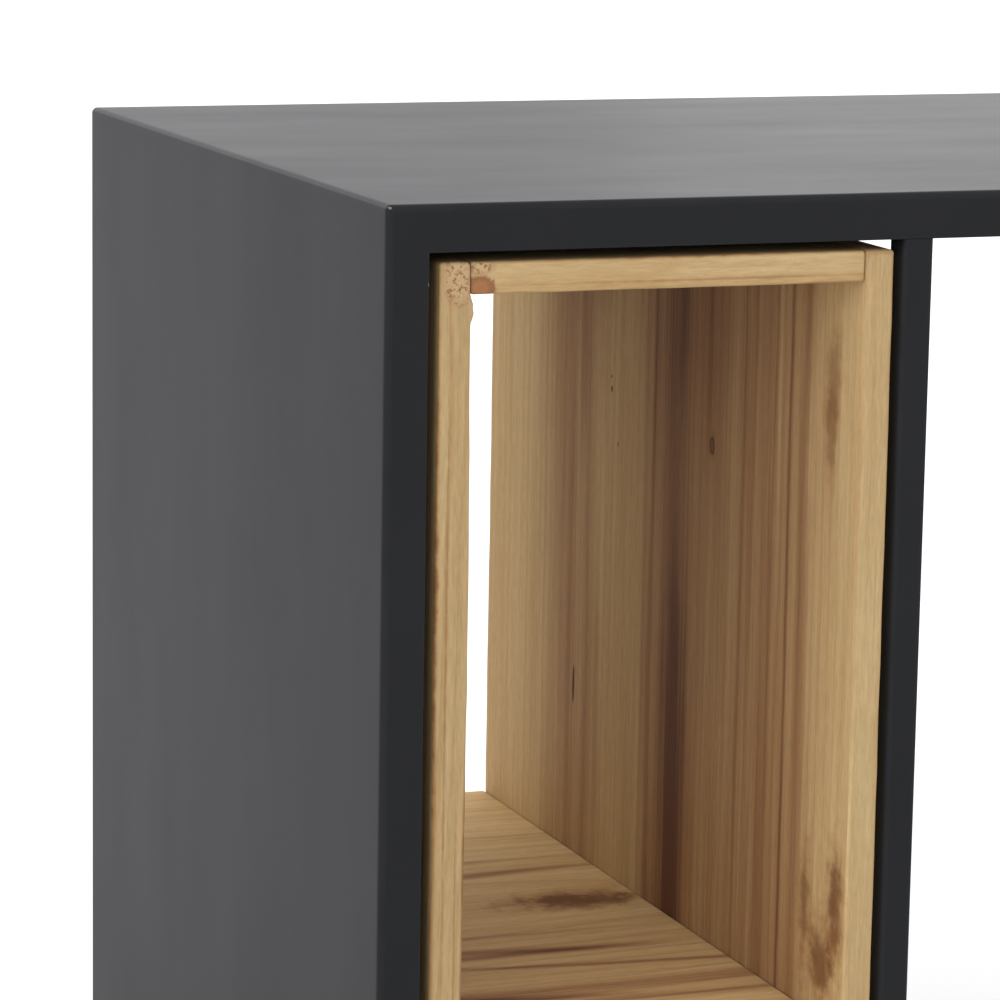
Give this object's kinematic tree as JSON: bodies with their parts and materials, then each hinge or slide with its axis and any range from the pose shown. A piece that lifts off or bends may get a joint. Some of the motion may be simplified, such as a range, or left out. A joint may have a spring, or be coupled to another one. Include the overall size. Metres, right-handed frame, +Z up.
{
  "type": "desk hutch",
  "caption": "Desk hutch: hollow sheet-steel top and side panels, slim tube posts, a wide open middle bay, and a loose toasted-wood box, open front and back, in each end bay.",
  "frame": {"origin": "centre of the footprint, on the surface that the feet stand on", "axes": "+X to the right along the width, -Y towards the front, +Z up"},
  "size_m": [1, 0.32, 0.335],
  "materials": {
    "painted_steel": "satin powder coat, dark anthracite",
    "fir_board": "toasted softwood, oiled",
    "screw_steel": "zinc-plated",
    "glide_plastic": "matt black"
  },
  "bodies": {
    "frame": {"top_panel": "painted_steel", "top_liner": "painted_steel", "top_front_tube": "painted_steel", "top_rear_tube": "painted_steel", "left_stiffener": "painted_steel", "middle_stiffener": "painted_steel", "right_stiffener": "painted_steel", "left_side_panel": "painted_steel", "left_side_liner": "painted_steel", "left_front_corner_tube": "painted_steel", "left_rear_corner_tube": "painted_steel", "left_front_post": "painted_steel", "left_rear_post": "painted_steel", "left_front_base_rail": "painted_steel", "left_rear_base_rail": "painted_steel", "left_side_base_rail": "painted_steel", "right_side_panel": "painted_steel", "right_side_liner": "painted_steel", "right_front_corner_tube": "painted_steel", "right_rear_corner_tube": "painted_steel", "right_front_post": "painted_steel", "right_rear_post": "painted_steel", "right_front_base_rail": "painted_steel", "right_rear_base_rail": "painted_steel", "right_side_base_rail": "painted_steel", "side_glides": "glide_plastic", "post_plugs": "glide_plastic"},
    "left_box": {"left_box_inner_side_board": "fir_board", "left_box_outer_side_board": "fir_board", "left_box_bottom_board": "fir_board", "left_box_top_board": "fir_board", "left_box_screws": "screw_steel"},
    "right_box": {"right_box_inner_side_board": "fir_board", "right_box_outer_side_board": "fir_board", "right_box_bottom_board": "fir_board", "right_box_top_board": "fir_board", "right_box_screws": "screw_steel"}
  },
  "joints": [
    {"name": "left_box_slide", "type": "slide", "parent": "frame", "child": "left_box", "axis": [0, -1, 0], "range_m": [0, 0.33]},
    {"name": "right_box_slide", "type": "slide", "parent": "frame", "child": "right_box", "axis": [0, -1, 0], "range_m": [0, 0.33]}
  ]
}
